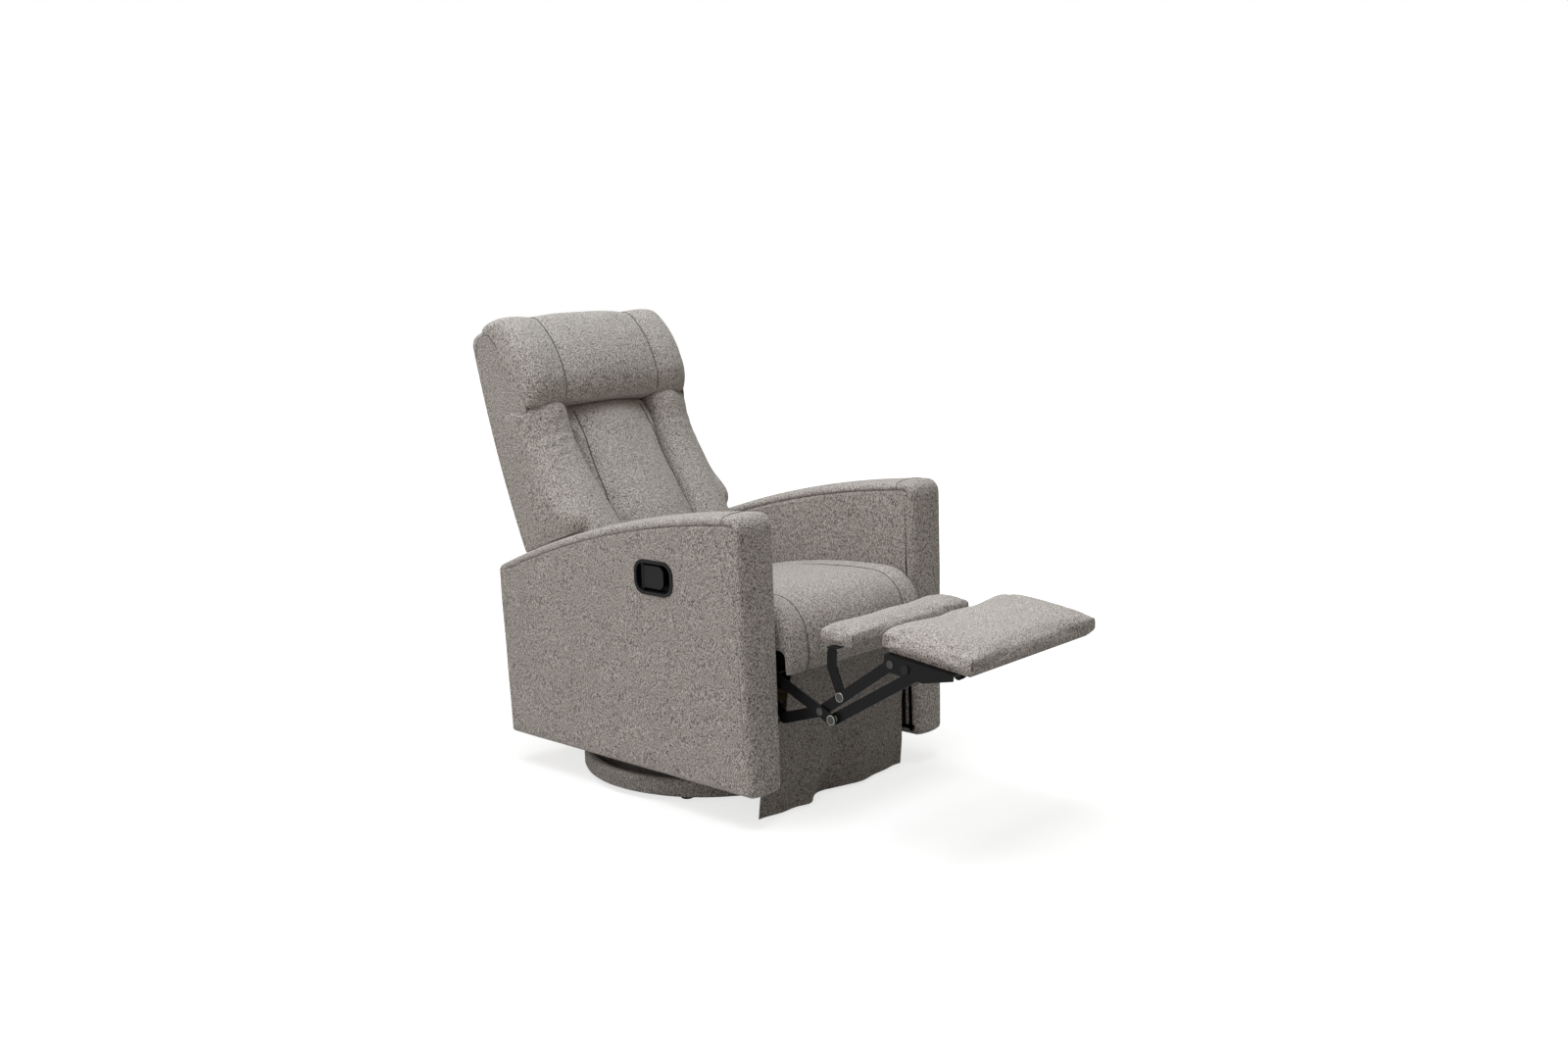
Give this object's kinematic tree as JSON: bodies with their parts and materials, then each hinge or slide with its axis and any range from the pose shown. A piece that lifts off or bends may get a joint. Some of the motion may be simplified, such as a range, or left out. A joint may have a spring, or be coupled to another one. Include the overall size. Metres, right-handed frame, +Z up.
{
  "type": "swivel rocker recliner",
  "caption": "Upholstered armchair on a round swivel and rocker base, with a reclining channelled back, side release lever and a folding padded footrest, modelled with the footrest out.",
  "frame": {"origin": "on the floor under the middle of the plan box, in the pose with the footrest out", "axes": "X across the chair with the release lever at -X, Y from front (footrest) to back, Z up"},
  "size_m": [0.683, 1.4879, 1.0843],
  "materials": {
    "fabric_cover": "light grey-beige tweed over foam, fine vertical flecks",
    "wood": "bare plywood and softwood",
    "black_steel": "black satin paint",
    "bright_steel": "plain zinc plated",
    "black_plastic": "fine satin moulding",
    "pale_plastic": "plain nylon",
    "black_rubber": "plain",
    "webbing": "woven strap"
  },
  "bodies": {
    "base": {"base_board": "wood", "base_band": "fabric_cover", "floor_glides": "black_plastic", "swivel_lower_plate": "bright_steel", "swivel_balls": "bright_steel", "swivel_bolts": "bright_steel"},
    "turntable": {"swivel_upper_plate": "bright_steel", "swivel_post": "bright_steel", "rocker_bed_plate": "black_steel", "axle_lugs": "black_steel", "rocker_axle": "bright_steel", "rocker_springs": "bright_steel"},
    "chair": {"rocker_saddles": "black_steel", "rocker_rails": "wood", "front_stretcher": "wood", "rear_stretcher": "wood", "arm_frame_left": "wood", "arm_frame_right": "wood", "arm_pad_left": "fabric_cover", "arm_pad_right": "fabric_cover", "lever_cup": "black_plastic", "lever_pin": "bright_steel", "lever_cup_screws": "bright_steel", "seat_cushion": "fabric_cover", "seat_front_rail": "wood", "seat_rear_rail": "wood", "seat_side_rails": "wood", "seat_springs": "bright_steel", "seat_posts": "wood", "rear_panel": "fabric_cover", "front_skirt": "fabric_cover", "mechanism_plates": "black_steel", "plate_pins": "bright_steel", "back_hinge_plates": "black_steel"},
    "lever": {"lever_paddle": "black_plastic"},
    "rear_link": {"rear_links": "black_steel", "rear_link_rivets": "bright_steel", "pale_washers": "pale_plastic", "link_cross_tube": "black_steel"},
    "front_link": {"front_links": "black_steel", "front_link_rivets": "bright_steel"},
    "top_link": {"top_links": "black_steel"},
    "control_link": {"control_links": "black_steel"},
    "footrest": {"footrest_pad": "fabric_cover", "footrest_board": "wood", "footrest_brackets": "black_steel", "footrest_rivets": "bright_steel", "rubber_bumpers": "black_rubber"},
    "flip": {"flip_pad": "fabric_cover", "flip_board": "wood", "flip_brackets": "black_steel"},
    "back": {"back_posts": "wood", "back_cross_rails": "wood", "back_webbing": "webbing", "back_rear_cover": "fabric_cover", "back_middle_channel": "fabric_cover", "back_side_channel_left": "fabric_cover", "back_side_channel_right": "fabric_cover", "headrest_pillow": "fabric_cover", "back_pivot_pins": "bright_steel"}
  },
  "joints": [
    {"name": "seat_swivel", "type": "hinge", "parent": "base", "child": "turntable", "pos_m": [0, 0.18915, 0.036], "axis": [0, 0, 1], "continuous": true},
    {"name": "rock", "type": "hinge", "parent": "turntable", "child": "chair", "pos_m": [0, 0.18915, 0.097], "axis": [1, 0, 0], "range_deg": [-4.5, 4.5], "stiffness_Nm_per_rad": 900, "deforming": ["rocker_springs"]},
    {"name": "back_recline", "type": "hinge", "parent": "chair", "child": "back", "pos_m": [0, 0.44416, 0.3], "axis": [-1, 0, 0], "range_deg": [0, 18]},
    {"name": "release_lever", "type": "hinge", "parent": "chair", "child": "lever", "pos_m": [-0.333, 0.06716, 0.524], "axis": [0, 0, -1], "range_deg": [0, 28], "stiffness_Nm_per_rad": 0.4},
    {"name": "footrest_fold", "type": "hinge", "parent": "chair", "child": "rear_link", "pos_m": [0, -0.15585, 0.345], "axis": [1, 0, 0], "range_deg": [0, 132.41], "deforming": ["front_skirt"]},
    {"name": "front_link_pivot", "type": "hinge", "parent": "rear_link", "child": "front_link", "pos_m": [0, -0.34585, 0.263], "axis": [1, 0, 0], "range_deg": [-99.22, 0.05]},
    {"name": "top_link_pivot", "type": "hinge", "parent": "rear_link", "child": "top_link", "pos_m": [0, -0.37584, 0.249], "axis": [1, 0, 0], "range_deg": [-90.9, 0.05]},
    {"name": "control_link_pivot", "type": "hinge", "parent": "chair", "child": "control_link", "pos_m": [0, -0.06085, 0.349], "axis": [1, 0, 0], "range_deg": [-0.05, 129.6]},
    {"name": "footrest_pad_tilt", "type": "hinge", "parent": "front_link", "child": "footrest", "pos_m": [0, -0.53855, 0.39347], "axis": [1, 0, 0], "range_deg": [-0.05, 50.51]},
    {"name": "flip_pad_fold", "type": "hinge", "parent": "front_link", "child": "flip", "pos_m": [0, -0.39585, 0.3], "axis": [1, 0, 0], "range_deg": [-0.05, 76.81]}
  ],
  "couplings": [
    {"joint": "front_link_pivot", "follows": "footrest_fold", "ratio": -0.74894},
    {"joint": "top_link_pivot", "follows": "footrest_fold", "ratio": -0.68614},
    {"joint": "control_link_pivot", "follows": "footrest_fold", "ratio": 0.97836},
    {"joint": "footrest_pad_tilt", "follows": "footrest_fold", "ratio": 0.38106},
    {"joint": "flip_pad_fold", "follows": "footrest_fold", "ratio": 0.57968}
  ]
}
